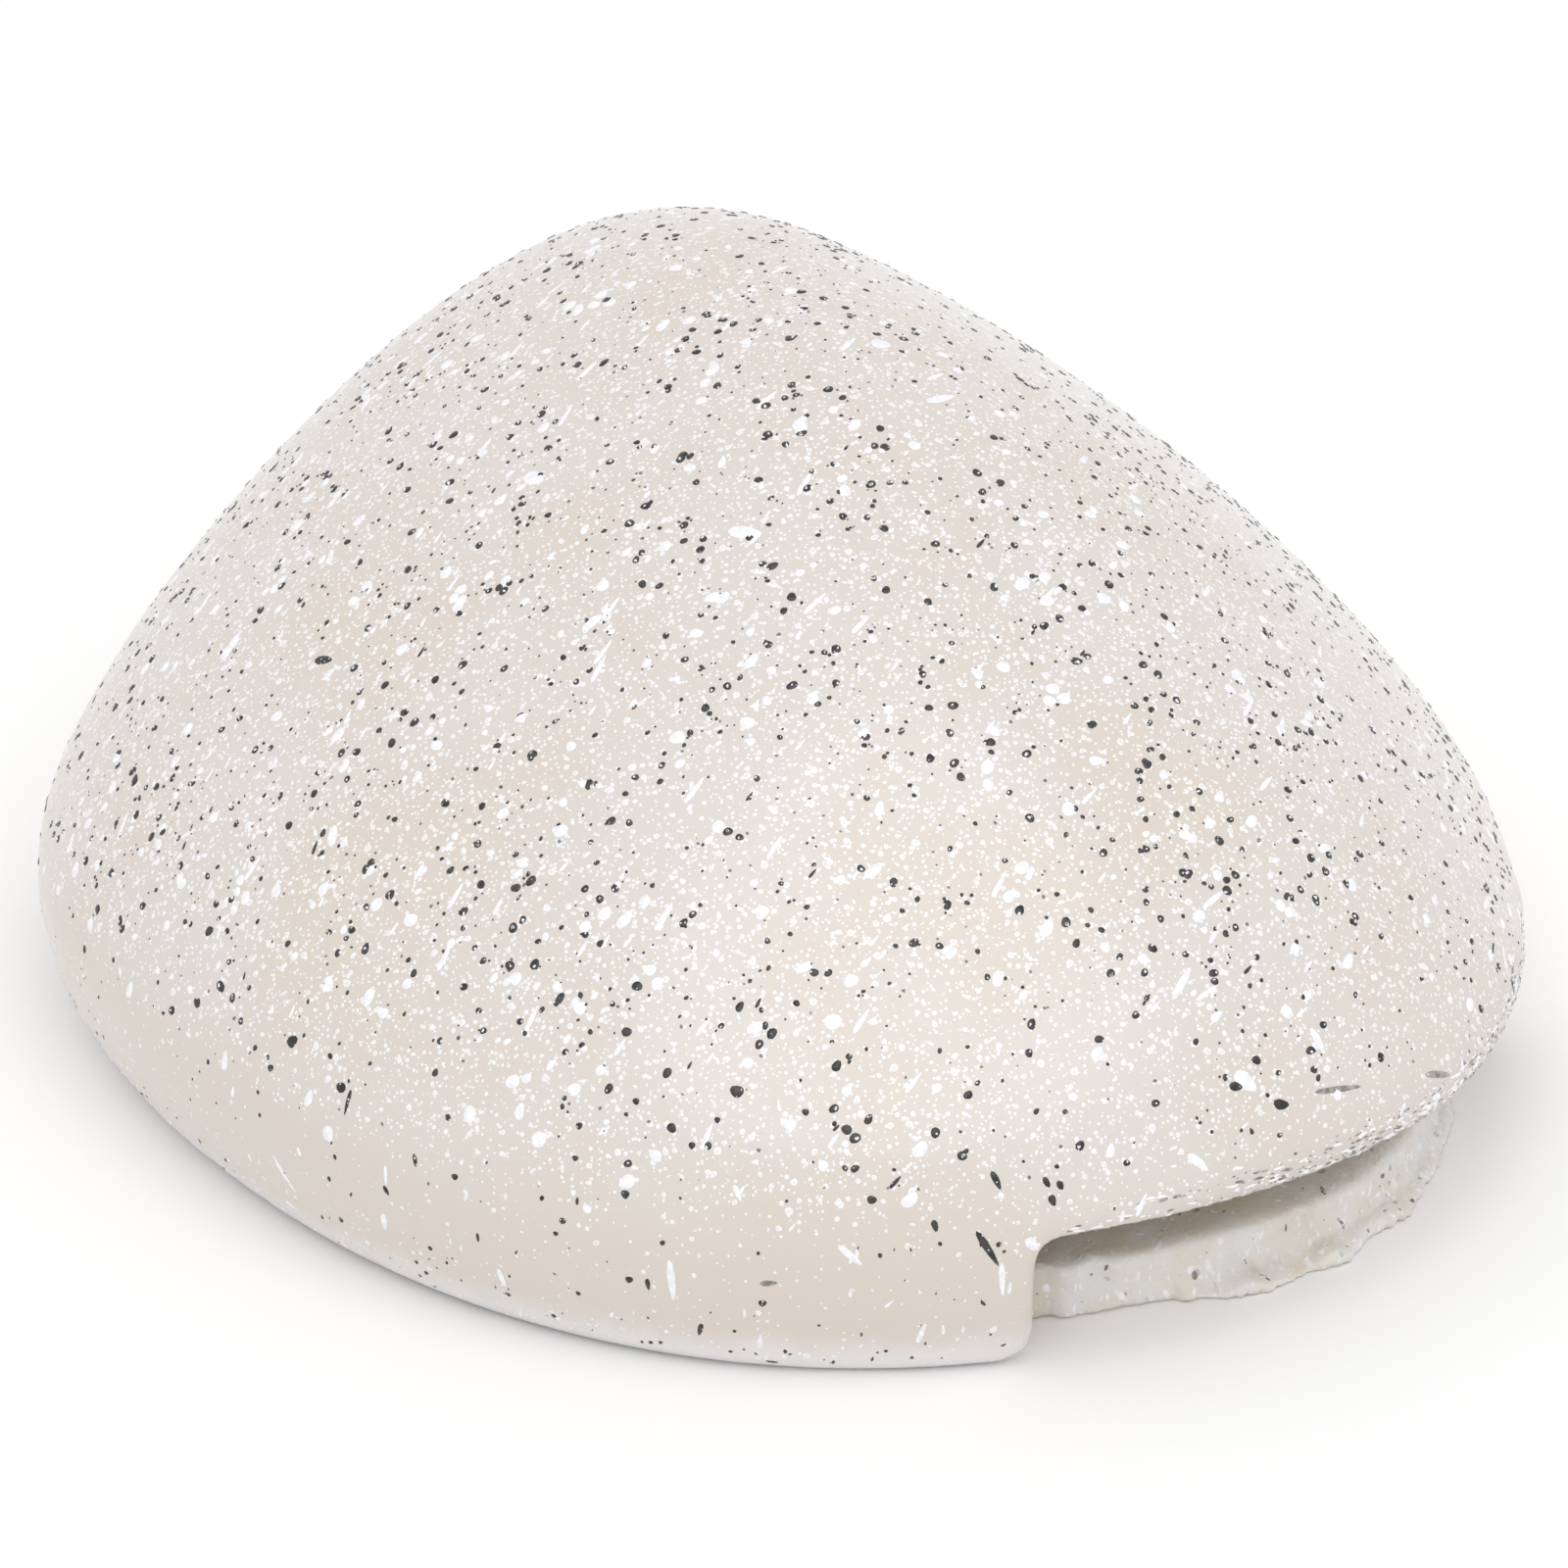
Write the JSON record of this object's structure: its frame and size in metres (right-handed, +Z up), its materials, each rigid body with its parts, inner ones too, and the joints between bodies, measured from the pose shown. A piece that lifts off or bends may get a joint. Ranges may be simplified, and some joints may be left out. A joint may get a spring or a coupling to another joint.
{
  "type": "hide a key rock",
  "caption": "Hollow cast resin rock in speckled cream that lifts off a base with a well for a spare key.",
  "frame": {"origin": "on the ground, under the middle of the rock's plan box", "axes": "+Z up, -Y towards the pictured front, +X to the right, towards the finger notch"},
  "size_m": [0.1108, 0.1108, 0.051],
  "materials": {
    "rock_resin": "glossy speckled resin",
    "base_resin": "raw cast resin",
    "pad_foam": "black foam",
    "magnet_nickel": "nickel plate",
    "disc_steel": "zinc plated steel"
  },
  "bodies": {
    "base": {"key_base": "base_resin", "key_pad": "pad_foam", "base_disc_1": "disc_steel", "base_disc_2": "disc_steel", "base_disc_3": "disc_steel"},
    "rock": {"rock_shell": "rock_resin", "shell_magnet_1": "magnet_nickel", "shell_magnet_2": "magnet_nickel", "shell_magnet_3": "magnet_nickel"}
  },
  "joints": [
    {"name": "lift_off", "type": "slide", "parent": "base", "child": "rock", "axis": [0, 0, 1], "range_m": [0, 0.06]}
  ]
}
